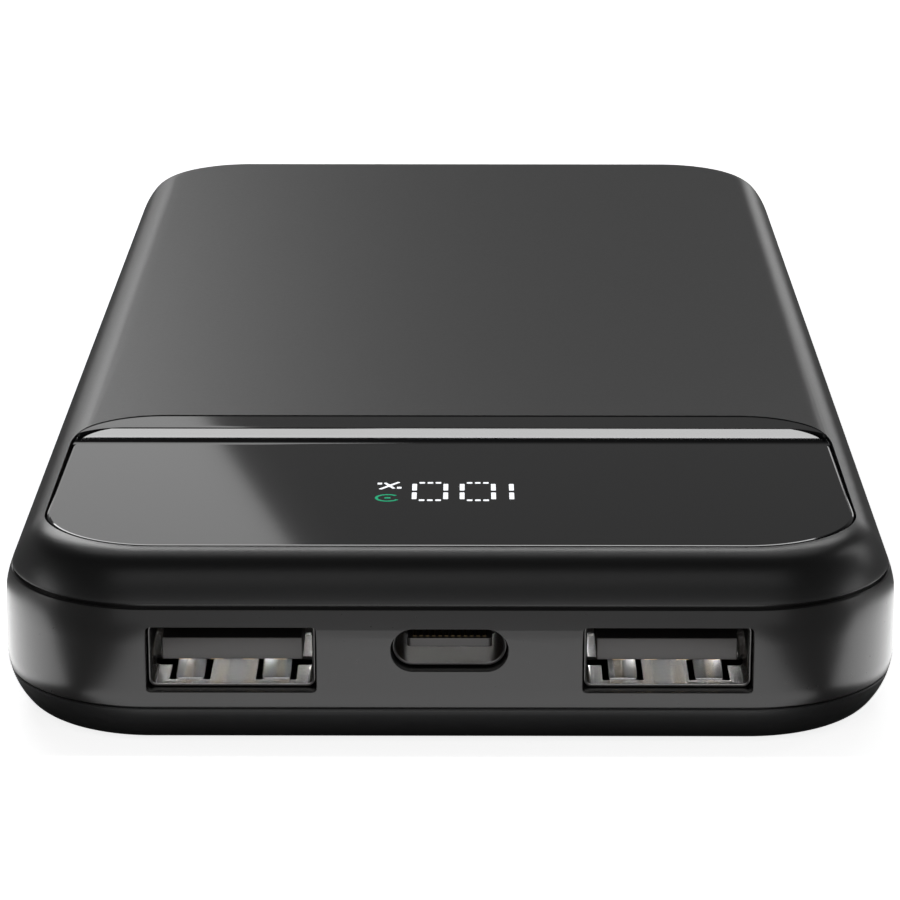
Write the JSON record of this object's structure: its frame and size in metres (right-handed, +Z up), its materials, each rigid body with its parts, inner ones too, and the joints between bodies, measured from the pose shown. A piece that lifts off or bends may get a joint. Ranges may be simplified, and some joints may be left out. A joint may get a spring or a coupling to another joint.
{
  "type": "power bank",
  "caption": "Slim rounded power bank: matt covers, satin band with three USB sockets, gloss display window, side power key.",
  "frame": {"origin": "on the surface it lies on, under the middle of the case", "axes": "+Z up through the display window, +Y from the sockets' end to the rear, +X to the side with the power key"},
  "size_m": [0.0724, 0.148, 0.0154],
  "materials": {
    "cover_plastic": "fine matt moulded, charcoal",
    "band_plastic": "satin, near black",
    "window_gloss": "polished, near black",
    "lit_white": "lit display strokes",
    "lit_green": "lit display icon",
    "socket_steel": "bright nickel plating",
    "oval_steel": "dark satin plating",
    "socket_insulator": "black moulding",
    "contact_gold": "gold flash",
    "key_plastic": "satin",
    "switch_plastic": "moulded",
    "board_laminate": "solder mask over glass laminate",
    "chip_black": "epoxy package",
    "capacitor_can": "bare can",
    "ceramic_tan": "fired",
    "ferrite_grey": "pressed ferrite",
    "copper_wire": "enamelled copper",
    "screw_steel": "zinc plated",
    "pouch_foil": "laminated foil pouch",
    "nickel_strip": "rolled nickel",
    "foam_grey": "closed-cell foam",
    "tape_white": "double-sided tape",
    "tape_black": "die-cut foam tape",
    "lead_red": "silicone sleeve",
    "lead_black": "silicone sleeve",
    "solder": "solder"
  },
  "bodies": {
    "case": {"top_cover": "cover_plastic", "middle_frame": "band_plastic", "bottom_cover": "cover_plastic", "display_window": "window_gloss", "window_adhesive": "tape_black", "display_housing": "chip_black", "display_digits": "lit_white", "display_percent_sign": "lit_white", "display_charge_icon": "lit_green", "display_pins": "solder", "display_driver_chip": "chip_black", "main_board": "board_laminate", "board_screws": "screw_steel", "controller_chip": "chip_black", "power_transistors": "chip_black", "ceramic_capacitors": "ceramic_tan", "resistors": "chip_black", "polymer_capacitors": "capacitor_can", "inductor_core": "ferrite_grey", "inductor_winding": "copper_wire", "usb_a_left_shell": "socket_steel", "usb_a_left_tongue": "socket_insulator", "usb_a_left_contacts": "contact_gold", "usb_a_right_shell": "socket_steel", "usb_a_right_tongue": "socket_insulator", "usb_a_right_contacts": "contact_gold", "usb_c_shell": "oval_steel", "usb_c_tongue": "socket_insulator", "usb_c_contacts": "contact_gold", "switch_body": "switch_plastic", "battery_cell_lower": "pouch_foil", "battery_cell_upper": "pouch_foil", "cell_strips_lower": "tape_white", "cell_strips_middle": "tape_white", "foam_pad": "foam_grey", "protection_board": "board_laminate", "protection_chips": "chip_black", "positive_tabs": "nickel_strip", "negative_tabs": "nickel_strip", "positive_lead": "lead_red", "negative_lead": "lead_black", "lead_joints": "solder"},
    "power_button": {"power_button": "key_plastic"},
    "switch_plunger": {"switch_plunger": "switch_plastic"}
  },
  "joints": [
    {"name": "power_button", "type": "slide", "parent": "case", "child": "power_button", "axis": [-1, 0, 0], "range_m": [0, 0.0003], "stiffness_N_per_m": 5000, "springref_m": -0.00005},
    {"name": "switch_plunger", "type": "slide", "parent": "case", "child": "switch_plunger", "axis": [-1, 0, 0], "range_m": [0, 0.0003]}
  ],
  "couplings": [
    {"joint": "switch_plunger", "follows": "power_button", "ratio": 1}
  ]
}
